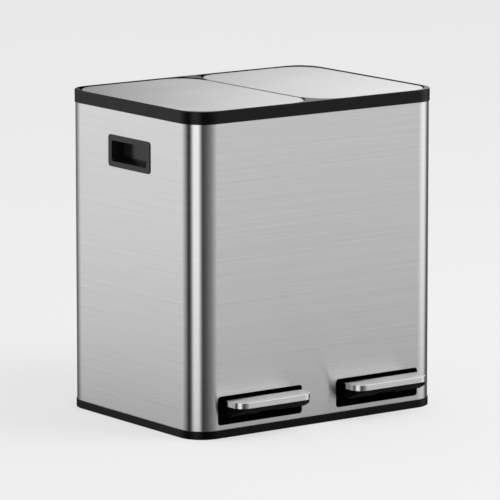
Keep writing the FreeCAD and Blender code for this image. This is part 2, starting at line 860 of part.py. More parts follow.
def clip_spans(grow):
    """Where the two clips of an axle lie along X."""
    outer_face = post_inner + free_gap + post_width
    near = outer_face + run_gap - grow
    far = outer_face + run_gap + clip_thickness + grow
    return ((middle_x + near, middle_x + far), (middle_x - far, middle_x - near))


def axle_clips():
    """Open retaining clips, one at each end of an axle."""
    clips = []
    for x0, x1 in clip_spans(0):
        clip = across(x0, x1, axle_y, axle_height, clip_radius)
        bore = across(x0 - 1, x1 + 1, axle_y, axle_height, clip_bore + run_gap)
        mouth = clip_bore - clip_groove
        gap = box(x0 - 1, x1 + 1, axle_y - mouth, axle_y + mouth, axle_height - clip_radius - 1,
                  axle_height)
        clips.append(clip.cut([bore, gap]))
    return clips


# ---------------------------------------------------------------- push rod


def push_rod():
    return upright(middle_x, rod_y, rod_bottom, rod_top, rod_radius)


def rod_head():
    """Fork on top of the push rod, holding the cross pin that lifts the crank."""
    half = crank_plate / 2 + free_gap + head_cheek
    fork = box(middle_x - half, middle_x + half, rod_y - head_depth / 2, rod_y + head_depth / 2,
               head_bottom, pin_z + head_above_pin)
    slot_half = crank_plate / 2 + free_gap
    slot = box(middle_x - slot_half, middle_x + slot_half, rod_y - head_depth, rod_y + head_depth,
               fork_floor, pin_z + head_above_pin + 1)
    pin_bore = across(middle_x - half - 1, middle_x + half + 1, rod_y, pin_z,
                      rod_pin_radius + run_gap)
    rod_bore = upright(middle_x, rod_y, head_bottom - 1, rod_top, rod_radius + run_gap)
    return fork.cut([slot, pin_bore, rod_bore])


def rod_pin():
    half = crank_plate / 2 + free_gap + head_cheek + seat_gap
    return across(middle_x - half, middle_x + half, rod_y, pin_z, rod_pin_radius)


def rod_foot():
    """Round-ended plastic foot that rests on the lever."""
    foot = upright(middle_x, rod_y, foot_z, foot_z + foot_height, foot_radius)
    crown = Part.makeSphere(foot_crown, vec(middle_x, rod_y, foot_z + foot_crown))
    column = upright(middle_x, rod_y, foot_z + foot_crown, foot_z + foot_height, foot_radius)
    foot = joined([foot.common(crown), column])
    return foot.cut(upright(middle_x, rod_y, rod_bottom, foot_z + foot_height + 1,
                            rod_radius + run_gap))


def guide_screw_places():
    return (middle_x - guide_half_width - screw_head_radius,
            middle_x + guide_half_width + screw_head_radius)


def guide_screw_y():
    return pivot_y - hinge_pin_radius


def rod_guide():
    """Bracket under the hinge trough with the push rod's upper guide bore."""
    half = guide_half_width
    wide = half + 2 * screw_head_radius
    leg_y = pivot_y - hinge_eye_radius
    flange_top = flange_z
    tongue = box(middle_x - half, middle_x + half, opening_y1, leg_y + guide_plate,
                 guide_top - guide_height, guide_top)
    leg = box(middle_x - half, middle_x + half, leg_y, leg_y + guide_plate,
              guide_top - guide_height, flange_top)
    flange = box(middle_x - wide, middle_x + wide, leg_y - guide_plate, leg_y + 3 * guide_plate,
                 flange_top - guide_plate, flange_top)
    notch = box(middle_x - crank_width_clear(), middle_x + crank_width_clear(),
                leg_y - guide_plate - 1, leg_y, flange_top - guide_plate - 1, flange_top + 1)
    bore = upright(middle_x, rod_y, guide_top - guide_height - 1, guide_top + 1,
                   rod_radius + run_gap)
    holes = [upright(x, guide_screw_y(), flange_top - guide_plate - 1, flange_top + 1,
                     screw_radius + run_gap) for x in guide_screw_places()]
    return joined([tongue, leg, flange.cut(notch)]).cut([bore] + holes)


def guide_screws():
    return [screw(x, guide_screw_y(), flange_z - guide_plate, guide_plate + wall + 1,
                  screw_radius, screw_head_radius - 0.5, screw_head_height, 1)
            for x in guide_screw_places()]


# ---------------------------------------------------------------- lids


def lid_panel():
    """Steel lid with its edge turned down."""
    panel = round_box(lid_x0, lid_x1, -lid_y, lid_y, lid_top - lid_edge, lid_top, lid_radius)
    panel = rounded(panel, lid_top, lid_round)
    hollow = round_box(lid_x0 + sheet, lid_x1 - sheet, -lid_y + sheet, lid_y - sheet,
                       lid_top - lid_edge - 1, lid_top - sheet, lid_radius - sheet)
    return panel.cut(hollow)


def liner_block(inset, z0, z1):
    edge = sheet + seat_gap + inset
    return round_box(lid_x0 + edge, lid_x1 - edge, -lid_y + edge, lid_y - edge, z0, z1,
                     lid_radius - edge)


def lid_liner():
    """Plastic underside of a lid: plate, ribs, hinge knuckles and bumper seats."""
    top = lid_top - sheet
    low = top - liner_depth
    plate_bottom = top - liner_plate
    rim = liner_block(0, low, top).cut(liner_block(liner_rib, low - 1, plate_bottom))
    inside = liner_block(liner_rib / 2, plate_bottom - liner_plate, plate_bottom + liner_plate / 2)
    ribs = []
    count = int((pivot_y - crank_foot_length - crank_reach + lid_y) // rib_pitch)
    for i in range(1, count + 1):
        y = -lid_y + i * rib_pitch
        rib = box(lid_x0, lid_x1, y, y + liner_rib, plate_bottom - liner_plate, plate_bottom + 1)
        ribs.append(rib.common(inside))
    for x, y in bumper_places():
        seat = upright(x, y, low, plate_bottom + 1, bumper_radius + liner_rib / 2)
        ribs.append(seat.common(liner_block(0, low, top)))
    knuckle_half = knuckle_width / 2
    for x in hinge_places():
        eye = across(x - knuckle_half, x + knuckle_half, pivot_y, pivot_z, hinge_eye_radius)
        web = box(x - knuckle_half, x + knuckle_half, pivot_y - hinge_eye_radius,
                  pivot_y + hinge_eye_radius, pivot_z, plate_bottom + liner_plate / 2)
        ribs += [eye, web]
    liner = joined([rim] + ribs)
    cuts = []
    for x in hinge_places():
        half = knuckle_half + 2 * free_gap + ear_width
        for side in (-1, 1):
            inner = x + side * knuckle_half
            outer = x + side * half
            cuts.append(box(min(inner, outer), max(inner, outer),
                            pivot_y - hinge_eye_radius - 3 * free_gap, lid_y, low - 1, top + 1))
        cuts.append(across(x - half, x + half, pivot_y, pivot_z, hinge_pin_radius + run_gap))
        cuts.append(box(x - knuckle_half, x + knuckle_half, pivot_y + hinge_eye_radius, lid_y,
                        low - 1, pivot_z))
    for x, y in bumper_places():
        cuts.append(upright(x, y, low - 1, low + bumper_stem_length, bumper_stem_radius + run_gap))
    for x, y in crank_screw_places():
        cuts.append(upright(x, y, low, plate_bottom + crank_screw_bite(),
                            screw_radius + run_gap))
    return liner.cut(cuts)


def bumper_places():
    y = -pocket_y + ledge_front - bumper_radius - free_gap
    spread = (lid_x1 - lid_x0) / 2 - lid_radius
    centre = (lid_x0 + lid_x1) / 2
    return ((centre - spread, y), (centre + spread, y))


def lid_bumpers():
    """Rubber buttons under the front of the lid, just clear of the ledge when it is shut."""
    low = lid_top - sheet - liner_depth
    bumpers = []
    for x, y in bumper_places():
        button = upright(x, y, ledge_z + free_gap, low, bumper_radius)
        stem = upright(x, y, ledge_z + free_gap, low + bumper_stem_length - free_gap,
                       bumper_stem_radius)
        bumpers.append(joined([button, stem]))
    return bumpers


def on_arm(reach):
    """Point on the crank's arm at this distance from the hinge line, lid shut."""
    angle = radians(lid_swing / 2)
    return (pivot_y - reach * cos(angle), pivot_z - reach * sin(angle))


def crank_ends():
    """The slot's two ends: where the pin is with the lid half open, and shut or fully open."""
    near = crank_reach
    far = crank_reach / cos(radians(lid_swing / 2))
    return (on_arm(near), on_arm(far))


def lid_crank():
    """Steel crank screwed under the liner; the push rod's pin runs in its slot."""
    top = lid_top - sheet - liner_plate
    foot_back = pivot_y - crank_reach / 2
    foot_front = foot_back - crank_foot_length
    half = crank_plate / 2
    foot = box(middle_x - crank_foot_width / 2, middle_x + crank_foot_width / 2,
               foot_front, foot_back, top - liner_plate, top)
    (near_y, near_z), (far_y, far_z) = crank_ends()
    angle = radians(lid_swing / 2)
    side_y = crank_end_radius * sin(angle)
    side_z = crank_end_radius * cos(angle)
    arm = profile(
        (
            (foot_front, top - liner_plate / 2),
            (foot_front, top - liner_plate),
            (far_y - side_y, far_z + side_z),
            (far_y + side_y, far_z - side_z),
            (near_y + side_y, near_z - side_z),
            (foot_back, top - liner_plate),
            (foot_back, top - liner_plate / 2),
        ), middle_x - half, middle_x + half)
    ends = [across(middle_x - half, middle_x + half, y, z, crank_end_radius)
            for y, z in crank_ends()]
    crank = joined([foot, arm] + ends)
    slot = [across(middle_x - crank_plate, middle_x + crank_plate, y, z, crank_slot_half)
            for y, z in crank_ends()]
    slot_y = crank_slot_half * sin(angle)
    slot_z = crank_slot_half * cos(angle)
    slot.append(profile(
        (
            (near_y - slot_y, near_z + slot_z),
            (far_y - slot_y, far_z + slot_z),
            (far_y + slot_y, far_z - slot_z),
            (near_y + slot_y, near_z - slot_z),
        ), middle_x - crank_plate, middle_x + crank_plate))
    holes = [upright(x, y, top - 2 * liner_plate, top + 1, screw_radius + run_gap)
             for x, y in crank_screw_places()]
    return crank.cut(slot + holes)


def crank_screw_places():
    y = pivot_y - crank_reach / 2 - crank_foot_length / 2
    return ((middle_x - crank_foot_width / 3, y), (middle_x + crank_foot_width / 3, y))


def crank_screw_bite():
    """Depth of a crank screw in the liner's plate."""
    return liner_plate - free_gap


def crank_screws():
    seat = lid_top - sheet - 2 * liner_plate
    return [screw(x, y, seat, liner_plate + crank_screw_bite() - free_gap, screw_radius,
                  screw_head_radius - 1, screw_head_height - 1, 1)
            for x, y in crank_screw_places()]


# ---------------------------------------------------------------- files


def save(name, shape):
    """Write one node; a list becomes a group of separate solids."""
    if isinstance(shape, list):
        shape = Part.makeCompound(shape)
    if not shape.isValid() or shape.Volume <= 0:
        raise ValueError("bad solid: " + name)
    shape.exportStep("parts/" + name + ".step")
    print(name, len(shape.Solids), "solids", round(shape.Volume / 1000, 2), "cm3")


def save_sides(name, make):
    """Write the right node and its mirror image."""
    shape = make()
    if isinstance(shape, list):
        shape = Part.makeCompound(shape)
    save(name + "_right", shape)
    save(name + "_left", mirrored(shape))


os.makedirs("parts", exist_ok=True)

for single in (outer_shell, top_frame, base_tray, antislip_pads, inner_floor, deck_screws,
               rear_rivets):
    save(single.__name__, single())

for per_side in (side_handle, pedal_housing, pedal_axle, axle_clips, rod_guide, guide_screws,
                 hinge_pins, bucket,
                 lid_panel, lid_liner, lid_crank, crank_screws, lid_bumpers,
                 pedal_cover, pedal_pad, pedal_lever, lever_bush, pedal_screws,
                 push_rod, rod_head, rod_pin, rod_foot):
    save_sides(per_side.__name__, per_side)

lever_length = rod_y - axle_y
print("rod travel", round(rod_travel, 3))
print("pedal swing", round(degrees(atan(rod_travel / lever_length)), 3))
print("hinge line", round(pivot_y, 3), round(pivot_z, 3), "axle", axle_y, axle_height)
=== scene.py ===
import math

import bpy
from bpy.props import FloatProperty, FloatVectorProperty, PointerProperty
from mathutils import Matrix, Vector

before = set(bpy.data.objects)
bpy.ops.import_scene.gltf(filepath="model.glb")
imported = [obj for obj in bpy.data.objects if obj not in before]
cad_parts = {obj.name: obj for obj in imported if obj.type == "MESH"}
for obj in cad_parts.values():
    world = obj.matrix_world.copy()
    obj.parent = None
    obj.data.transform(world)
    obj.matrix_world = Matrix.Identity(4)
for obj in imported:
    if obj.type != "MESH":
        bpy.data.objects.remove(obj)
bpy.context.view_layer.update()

# Looks of a double recycling bin: brushed steel body and lids, black moulded rim, base and
# grips, two steel-capped pedals. Metres, in the part's own frame: +X right, -Y front, +Z up.

bl_info = {
    "name": "Double recycling bin",
    "version": (1, 0, 0),
    "blender": (4, 5, 0),
    "location": "3D View > Sidebar > Bin",
    "description": "Finishes, lids, pedals and studio of a steel bin with two pedals",
    "category": "Object",
}

SIDES = ("left", "right")

# Studio as the steel sees it: the turn in degrees round the object, from -X towards -Y, with
# the brightness of what lies below the horizon there and of what stands above it.
STUDIO = (
    (0, 0.07, 0.07), (5, 0.22, 0.22), (13, 1.20, 0.66), (21, 1.80, 0.85), (40, 1.70, 0.86),
    (49, 0.68, 0.50), (57, 0.07, 0.07), (67, 0.09, 0.09), (77, 0.14, 0.14), (98, 0.32, 0.36),
    (108, 0.46, 0.54), (116, 0.64, 0.74), (121, 0.97, 1.09), (124.5, 0.94, 1.05),
    (129, 0.80, 0.88), (135, 0.96, 0.98), (150, 1.58, 1.15), (166, 1.38, 1.10),
    (174, 0.92, 0.80), (184, 0.18, 0.20), (203, 0.12, 0.18), (215, 0.50, 0.50),
    (243, 0.50, 0.50), (257, 0.22, 0.26), (274, 0.28, 0.30), (284, 0.50, 0.48),
    (296, 0.95, 0.97), (304, 1.15, 1.19), (313, 1.20, 1.22), (329, 0.70, 0.70),
    (351, 0.01, 0.01), (359, 0.06, 0.06),
)

# Scratches in the steel: how many to the metre along X, Y and Z.
WALL_SCRATCHES = (4.0, 4.0, 1500.0)
LID_SCRATCHES = (4.0, 1500.0, 4.0)
CAP_SCRATCHES = (4.0, 1200.0, 1200.0)
STREAK_WIDTH = 9       # broad streaks are this many times wider than the scratches
UPRIGHT = 0.25         # quarter turn of the steel's tangent, which spreads its shine up and down

# Half width and half depth of the body, where the painted shadow on the floor begins.
BODY_HALF = (0.209, 0.155, 0.0)


# ---------------------------------------------------------------- settings


class BinSteelSettings(bpy.types.PropertyGroup):
    wall_colour: FloatVectorProperty(
        name="Wall steel", description="Colour of the brushed steel body", subtype="COLOR",
        size=3, min=0, max=1, default=(0.70, 0.70, 0.70))
    lid_colour: FloatVectorProperty(
        name="Lid steel", description="Colour of the two steel lids", subtype="COLOR",
        size=3, min=0, max=1, default=(0.70, 0.70, 0.70))
    pedal_colour: FloatVectorProperty(
        name="Pedal steel", description="Colour of the two pedal caps", subtype="COLOR",
        size=3, min=0, max=1, default=(0.86, 0.86, 0.86))
    roughness: FloatProperty(
        name="Roughness", description="Roughness of the brushed steel", subtype="FACTOR",
        min=0, max=1, default=0.24)
    brushing: FloatProperty(
        name="Brushing depth", description="Depth of the brushed scratches", unit="LENGTH",
        min=0, max=0.0005, precision=6, default=0.00001)


class BinPlasticSettings(bpy.types.PropertyGroup):
    black: FloatVectorProperty(
        name="Black plastic", description="Colour of the rim, base and grips", subtype="COLOR",
        size=3, min=0, max=1, default=(0.0015, 0.0015, 0.0015))
    inside: FloatVectorProperty(
        name="Bucket plastic", description="Colour of the two inner buckets", subtype="COLOR",
        size=3, min=0, max=1, default=(0.075, 0.075, 0.078))
    roughness: FloatProperty(
        name="Roughness", description="Roughness of the satin mouldings", subtype="FACTOR",
        min=0, max=1, default=0.27)
    grain: FloatProperty(
        name="Grain depth", description="Depth of the moulded grain", unit="LENGTH",
        min=0, max=0.001, precision=6, default=0.00002)


class BinStudioSettings(bpy.types.PropertyGroup):
    turn: FloatProperty(
        name="View turn", description="Camera's turn to the left of the front", subtype="ANGLE",
        default=math.radians(36.387))
    rise: FloatProperty(
        name="View rise", description="Camera's height angle above the horizon", subtype="ANGLE",
        default=math.radians(9.996))
    distance: FloatProperty(
        name="Distance", description="From the camera to its target", unit="LENGTH",
        default=6.43883)
    lens: FloatProperty(
        name="Lens", description="Focal length on a 36 mm frame, in millimetres",
        unit="CAMERA", default=331.13)
    aside: FloatProperty(
        name="Target aside", description="Target to the right of the middle of the body",
        unit="LENGTH", default=-0.003295)
    target_height: FloatProperty(
        name="Target height", description="Target above the floor", unit="LENGTH",
        default=0.220772)
    backdrop: FloatProperty(
        name="Backdrop", description="Brightness of the pale background", subtype="FACTOR",
        min=0, max=1, default=0.871)
    fill: FloatProperty(
        name="Fill light", description="Even light from all round", min=0, max=2, default=0.75)
    key: FloatProperty(
        name="Key light", description="Power of the soft lamp at the right, in watts", min=0,
        default=60.0)


# ---------------------------------------------------------------- shader helpers


def shader_node(tree, kind, inputs=None, **settings):
    """Add a node; an input given as a socket is linked, and anything else is set."""
    node = tree.nodes.new("ShaderNode" + kind)
    for name, value in settings.items():
        setattr(node, name, value)
    for name, value in (inputs or {}).items():
        if isinstance(value, bpy.types.NodeSocket):
            tree.links.new(value, node.inputs[name])
        else:
            node.inputs[name].default_value = value
    return node


def math_node(tree, operation, a, b=0.0):
    return shader_node(tree, "Math", {0: a, 1: b}, operation=operation).outputs[0]


def new_material(name):
    material = bpy.data.materials.new(name)
    material.use_nodes = True
    material.node_tree.nodes.clear()
    return material, material.node_tree


def finish_material(material, tree, shader):
    output = tree.nodes.new("ShaderNodeOutputMaterial")
    tree.links.new(shader, output.inputs["Surface"])
    return material


def pattern(tree, scale, detail=2.0, roughness=0.5):
    """Noise on Object coordinates, stretched by a scale per metre along X, Y and Z."""
    place = shader_node(tree, "TexCoord").outputs["Object"]
    mapped = shader_node(tree, "Mapping", {"Vector": place, "Scale": scale}).outputs["Vector"]
    noise = shader_node(tree, "TexNoise", {"Vector": mapped, "Scale": 1.0, "Detail": detail,
                                           "Roughness": roughness})
    return noise.outputs["Fac"]


def spread(tree, value, low, high):
    """Carry a pattern's usual range of 0.3 to 0.7 over to low and high."""
    return shader_node(tree, "MapRange", {"Value": value, "From Min": 0.3, "From Max": 0.7,
                                          "To Min": low, "To Max": high}).outputs["Result"]


def tinted(tree, colour, shade):
    """A colour made lighter or darker by a pattern round 1."""
    scaled = shader_node(tree, "VectorMath", {0: colour, "Scale": shade}, operation="SCALE")
    return scaled.outputs["Vector"]


def painted_edge_shade(tree, shade, dark):
    """Painted shade on a level sheet: its colour is darkened down to dark where it turns over
    into an upright edge, in place of the shade those edges lie in.
    """
    facing = shader_node(tree, "TexCoord").outputs["Normal"]
    rise = shader_node(tree, "SeparateXYZ", {"Vector": facing}).outputs["Z"]
    level = shader_node(tree, "MapRange", {"Value": rise, "From Min": 0.25, "From Max": 0.75,
                                           "To Min": dark, "To Max": 1.0}).outputs["Result"]
    return math_node(tree, "MULTIPLY", shade, level)


def brushed_steel(name, colour, roughness, depth, grain, axis, turn, stretch, edge=1.0):
    """Steel sheet with fine straight scratches and faint broader streaks. Turn and stretch set
    the direction and the amount of its drawn-out shine; edge paints shade on folded edges."""
    material, tree = new_material(name)
    fine = pattern(tree, grain, 3.0, 0.65)
    streaks = pattern(tree, [rate / STREAK_WIDTH for rate in grain], 2.0)
    clouds = pattern(tree, (7.0, 7.0, 5.0), 3.0)
    shade = math_node(tree, "MULTIPLY", spread(tree, fine, 0.955, 1.045),
                      spread(tree, streaks, 0.985, 1.015))
    # Painted shade: the colour of the sheet's folded edges is darkened.
    if edge < 1.0:
        shade = painted_edge_shade(tree, shade, edge)
    rough = math_node(tree, "ADD", spread(tree, fine, roughness - 0.02, roughness + 0.02),
                      spread(tree, clouds, -0.015, 0.015))
    bump = shader_node(tree, "Bump", {"Height": fine, "Strength": 0.35, "Distance": depth})
    tangent = shader_node(tree, "Tangent", direction_type="RADIAL", axis=axis)
    steel = shader_node(tree, "BsdfPrincipled", {
        "Base Color": tinted(tree, colour, shade),
        "Metallic": 1.0,
        "Roughness": rough,
        "Anisotropic": stretch,
        "Anisotropic Rotation": turn,
        "Tangent": tangent.outputs["Tangent"],
        "Normal": bump.outputs["Normal"],
    })
    return finish_material(material, tree, steel.outputs["BSDF"])


def satin_plastic(name, colour, roughness, depth, gloss=1.29):
    """Moulded plastic with a fine even grain and slight flow marks; gloss is its index of
    refraction."""
    material, tree = new_material(name)
    grain = pattern(tree, (2600.0, 2600.0, 2600.0), 2.0)
    flow = pattern(tree, (18.0, 18.0, 30.0), 3.0)
    rough = math_node(tree, "ADD", spread(tree, grain, roughness - 0.03, roughness + 0.03),
                      spread(tree, flow, -0.02, 0.02))
    bump = shader_node(tree, "Bump", {"Height": grain, "Strength": 0.5, "Distance": depth})
    plastic = shader_node(tree, "BsdfPrincipled", {
        "Base Color": tinted(tree, colour, spread(tree, flow, 0.9, 1.1)),
        "Roughness": rough,
        "IOR": gloss,
        "Normal": bump.outputs["Normal"],
    })
    return finish_material(material, tree, plastic.outputs["BSDF"])


def rubber(name, colour):
    """Matt rubber with a dusty bloom."""
    material, tree = new_material(name)
    bloom = pattern(tree, (60.0, 60.0, 60.0), 4.0)
    grain = pattern(tree, (1400.0, 1400.0, 1400.0), 2.0)
    bump = shader_node(tree, "Bump", {"Height": grain, "Strength": 0.6, "Distance": 0.00004})
    skin = shader_node(tree, "BsdfPrincipled", {
        "Base Color": tinted(tree, colour, spread(tree, bloom, 0.8, 1.3)),
        "Roughness": spread(tree, bloom, 0.75, 0.92),
        "Normal": bump.outputs["Normal"],
    })
    return finish_material(material, tree, skin.outputs["BSDF"])


def plated_steel(name, colour):
    """Zinc plating: cloudy, with the faint crystal pattern of the coat."""
    material, tree = new_material(name)
    clouds = pattern(tree, (90.0, 90.0, 90.0), 3.0)
    place = shader_node(tree, "TexCoord").outputs["Object"]
    crystals = shader_node(tree, "TexVoronoi", {"Vector": place, "Scale": 420.0})
    shade = math_node(tree, "MULTIPLY", spread(tree, clouds, 0.92, 1.06),
                      spread(tree, crystals.outputs["Distance"], 0.97, 1.03))
    metal = shader_node(tree, "BsdfPrincipled", {
        "Base Color": tinted(tree, colour, shade),
        "Metallic": 1.0,
        "Roughness": spread(tree, clouds, 0.28, 0.42),
    })
    return finish_material(material, tree, metal.outputs["BSDF"])


def dress(names, material):
    """Give every one of these CAD nodes the finish, on each of its material slots."""
    for name in names:
        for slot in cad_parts[name].material_slots:
            slot.material = material


def both(*names):
    return [name + "_" + side for name in names for side in SIDES]


# ---------------------------------------------------------------- studio


def ramp(tree, value, stops):
    """Colour ramp over a full turn, from (degrees, brightness) pairs."""
    node = shader_node(tree, "ValToRGB", {"Fac": value})
    colours = node.color_ramp
    colours.interpolation = "LINEAR"
    while len(colours.elements) > 1:
        colours.elements.remove(colours.elements[-1])
    peak = max(level for degrees, level in stops)
    for i, (degrees, level) in enumerate(stops):
        place = degrees / 360
        element = colours.elements[0] if i == 0 else colours.elements.new(place)
        element.position = place
        element.color = (level / peak, level / peak, level / peak, 1)
    return math_node(tree, "MULTIPLY", node.outputs["Color"], peak)


def studio_world(settings):
    """Even light for matt surfaces, a pale backdrop for the camera, and for polished and
    brushed surfaces a studio whose brightness depends on the direction."""
    world = bpy.data.worlds.new("studio")
    bpy.context.scene.world = world
    world.use_nodes = True
    tree = world.node_tree
    tree.nodes.clear()
    way = shader_node(tree, "TexCoord").outputs["Generated"]
    turn = shader_node(tree, "TexGradient", {"Vector": way},
                       gradient_type="RADIAL").outputs["Fac"]
    height = shader_node(tree, "SeparateXYZ", {"Vector": way}).outputs["Z"]
    horizon_blend = 0.12
    top_begins, top_full = 0.6, 0.95
    above = shader_node(tree, "MapRange", {"Value": height, "From Min": 0.0,
                                           "From Max": horizon_blend},
                        interpolation_type="SMOOTHSTEP").outputs["Result"]
    top = shader_node(tree, "MapRange", {"Value": height, "From Min": top_begins,
                                         "From Max": top_full},
                      interpolation_type="SMOOTHSTEP").outputs["Result"]
    low = ramp(tree, turn, [(degrees, lower) for degrees, lower, upper in STUDIO])
    high = ramp(tree, turn, [(degrees, upper) for degrees, lower, upper in STUDIO])
    sides = shader_node(tree, "Mix", {"Factor": above, "A": low, "B": high}).outputs["Result"]
    seen = shader_node(tree, "Mix", {"Factor": top, "A": sides, "B": 1.0}).outputs["Result"]
    light_path = shader_node(tree, "LightPath").outputs
    plain = shader_node(tree, "Mix", {"Factor": light_path["Is Camera Ray"], "A": settings.fill,
                                      "B": settings.backdrop}).outputs["Result"]
    clear = shader_node(tree, "Mix", {"Factor": light_path["Is Transmission Ray"], "A": plain,
                                      "B": settings.backdrop}).outputs["Result"]
    level = shader_node(tree, "Mix", {"Factor": light_path["Is Glossy Ray"], "A": clear,
                                      "B": seen}).outputs["Result"]
    background = shader_node(tree, "Background", {"Strength": level})
    background.inputs["Color"].default_value = (1, 1, 1, 1)
    output = tree.nodes.new("ShaderNodeOutputWorld")
    tree.links.new(background.outputs[0], output.inputs["Surface"])


def flat_mesh(name, corners):
    """One four-sided face through the given corners."""
    mesh = bpy.data.meshes.new(name)
    mesh.from_pydata([tuple(c) for c in corners], [], [(0, 1, 2, 3)])
    piece = bpy.data.objects.new(name, mesh)
    bpy.context.scene.collection.objects.link(piece)
    return piece


def studio_floor(settings):
    """Pale floor: it shows the camera a softened shadow of the bin, and shows the steel a
    painted shadow that is darker close to the body. What passes is (distance + 0.45) / (distance
    + 1.2), with the distance from the body in metres."""
    reach = 14.0
    shadow_share = 0.30
    near, far = 0.45, 1.2
    floor = flat_mesh("studio_floor", ((-reach, -reach, 0), (reach, -reach, 0),
                                       (reach, reach, 0), (-reach, reach, 0)))
    material, tree = new_material("pale_floor")
    light_path = shader_node(tree, "LightPath").outputs
    matt = shader_node(tree, "BsdfDiffuse").outputs[0]
    matt.node.inputs["Color"].default_value = (settings.backdrop,) * 3 + (1,)
    glow = shader_node(tree, "Emission", {"Strength": settings.backdrop}).outputs[0]
    shown = shader_node(tree, "MixShader", {0: shadow_share, 1: glow, 2: matt}).outputs[0]
    # Painted shadow for the steel: glossy rays pass the floor less the nearer they land to the
    # body.
    place = shader_node(tree, "TexCoord").outputs["Object"]
    lengths = shader_node(tree, "VectorMath", {0: place}, operation="ABSOLUTE").outputs[0]
    beyond = shader_node(tree, "VectorMath", {0: lengths, 1: BODY_HALF},
                         operation="SUBTRACT").outputs[0]
    outside = shader_node(tree, "VectorMath", {0: beyond, 1: (0.0, 0.0, 0.0)},
                          operation="MAXIMUM").outputs[0]
    away = shader_node(tree, "VectorMath", {0: outside}, operation="LENGTH").outputs["Value"]
    painted_shadow_pass = math_node(tree, "DIVIDE", math_node(tree, "ADD", away, near),
                      math_node(tree, "ADD", away, far))
    painted_shadow_veil = shader_node(tree, "BsdfTransparent", {"Color": painted_shadow_pass}).outputs[0]
    other = shader_node(tree, "MixShader", {0: light_path["Is Glossy Ray"], 1: matt,
                                            2: painted_shadow_veil}).outputs[0]
    final = shader_node(tree, "MixShader", {0: light_path["Is Camera Ray"], 1: other,
                                            2: shown}).outputs[0]
    floor.data.materials.append(finish_material(material, tree, final))


def studio_card(settings):
    """White card behind the bin that only the steel sees, lit more strongly at its right and
    towards its top, up to a limit."""
    behind, half_width, foot, head = 1.7, 1.3, 0.47, 2.6
    left_level, right_level, side_reach = 0.08, 1.51, 0.45
    foot_level, head_level, rise_begins, rise_full = 0.2, 1.6, 0.45, 1.20
    brightest = 1.36
    ahead = Vector((math.sin(settings.turn), math.cos(settings.turn), 0))
    right = Vector((ahead.y, -ahead.x, 0))
    middle = ahead * behind
    side = right * half_width
    low, high = Vector((0, 0, foot)), Vector((0, 0, head))
    card = flat_mesh("studio_card", (middle - side + low, middle + side + low,
                                     middle + side + high, middle - side + high))
    material, tree = new_material("card_light")
    place = shader_node(tree, "TexCoord").outputs["Object"]
    aside = shader_node(tree, "VectorMath", {0: place, 1: tuple(right)},
                        operation="DOT_PRODUCT").outputs["Value"]
    across = shader_node(tree, "MapRange", {
        "Value": aside, "From Min": -side_reach, "From Max": side_reach,
        "To Min": left_level, "To Max": right_level}).outputs["Result"]
    height = shader_node(tree, "SeparateXYZ", {"Vector": place}).outputs["Z"]
    rise = shader_node(tree, "MapRange", {
        "Value": height, "From Min": rise_begins, "From Max": rise_full,
        "To Min": foot_level, "To Max": head_level}).outputs["Result"]
    level = math_node(tree, "MINIMUM", math_node(tree, "MULTIPLY", across, rise), brightest)
    glow = shader_node(tree, "Emission", {"Strength": level}).outputs[0]
    card.data.materials.append(finish_material(material, tree, glow))
    card.visible_camera = False
    card.visible_diffuse = False
    card.visible_transmission = False
    card.visible_shadow = False


def studio_camera(settings):
    """Camera on a circle round the target, turned to the left and raised a little."""
    data = bpy.data.cameras.new("studio_camera")
    data.sensor_fit = "HORIZONTAL"
    data.sensor_width = 36.0
    data.lens = settings.lens
    data.clip_end = 100.0
    camera = bpy.data.objects.new("studio_camera", data)
    bpy.context.scene.collection.objects.link(camera)
    ahead = Vector((math.sin(settings.turn) * math.cos(settings.rise),
                    math.cos(settings.turn) * math.cos(settings.rise),
                    -math.sin(settings.rise)))
    right = Vector((math.cos(settings.turn), -math.sin(settings.turn), 0))
    target = right * settings.aside + Vector((0, 0, settings.target_height))
    camera.location = target - ahead * settings.distance
    camera.rotation_euler = ahead.to_track_quat("-Z", "Y").to_euler()
    bpy.context.scene.camera = camera


def studio_key(settings):
    """Large soft lamp to the right of the front; it isn't seen in the steel."""
    data = bpy.data.lights.new("studio_key", "AREA")
    data.shape = "DISK"
    data.size = 2.2
    data.energy = settings.key
    lamp = bpy.data.objects.new("studio_key", data)
    bpy.context.scene.collection.objects.link(lamp)
    lamp.location = (1.7, -2.0, 2.8)
    aim = Vector((0, 0, 0.2)) - lamp.location
    lamp.rotation_euler = aim.to_track_quat("-Z", "Y").to_euler()
    lamp.visible_glossy = False
    lamp.visible_camera = False


# ---------------------------------------------------------------- operators


class BIN_OT_studio(bpy.types.Operator):
    """Camera, pale floor, world and soft lamp"""
    bl_idname = "bin.studio"
    bl_label = "Studio"

    def execute(self, context):
        settings = context.scene.bin_studio
        studio_world(settings)
        studio_floor(settings)
        studio_card(settings)
        studio_camera(settings)
        studio_key(settings)
        context.scene.view_settings.view_transform = "Standard"
        return {"FINISHED"}


class BIN_OT_body(bpy.types.Operator):
    """Brushed steel wall with its seam and rivets"""
    bl_idname = "bin.body"
    bl_label = "Steel body"

    def execute(self, context):
        settings = context.scene.bin_steel
        wall = brushed_steel("brushed_wall", settings.wall_colour, settings.roughness,
                             settings.brushing, WALL_SCRATCHES, axis="Z", turn=UPRIGHT,
                             stretch=1.0)
        dress(["outer_shell", "rear_rivets"], wall)
        return {"FINISHED"}


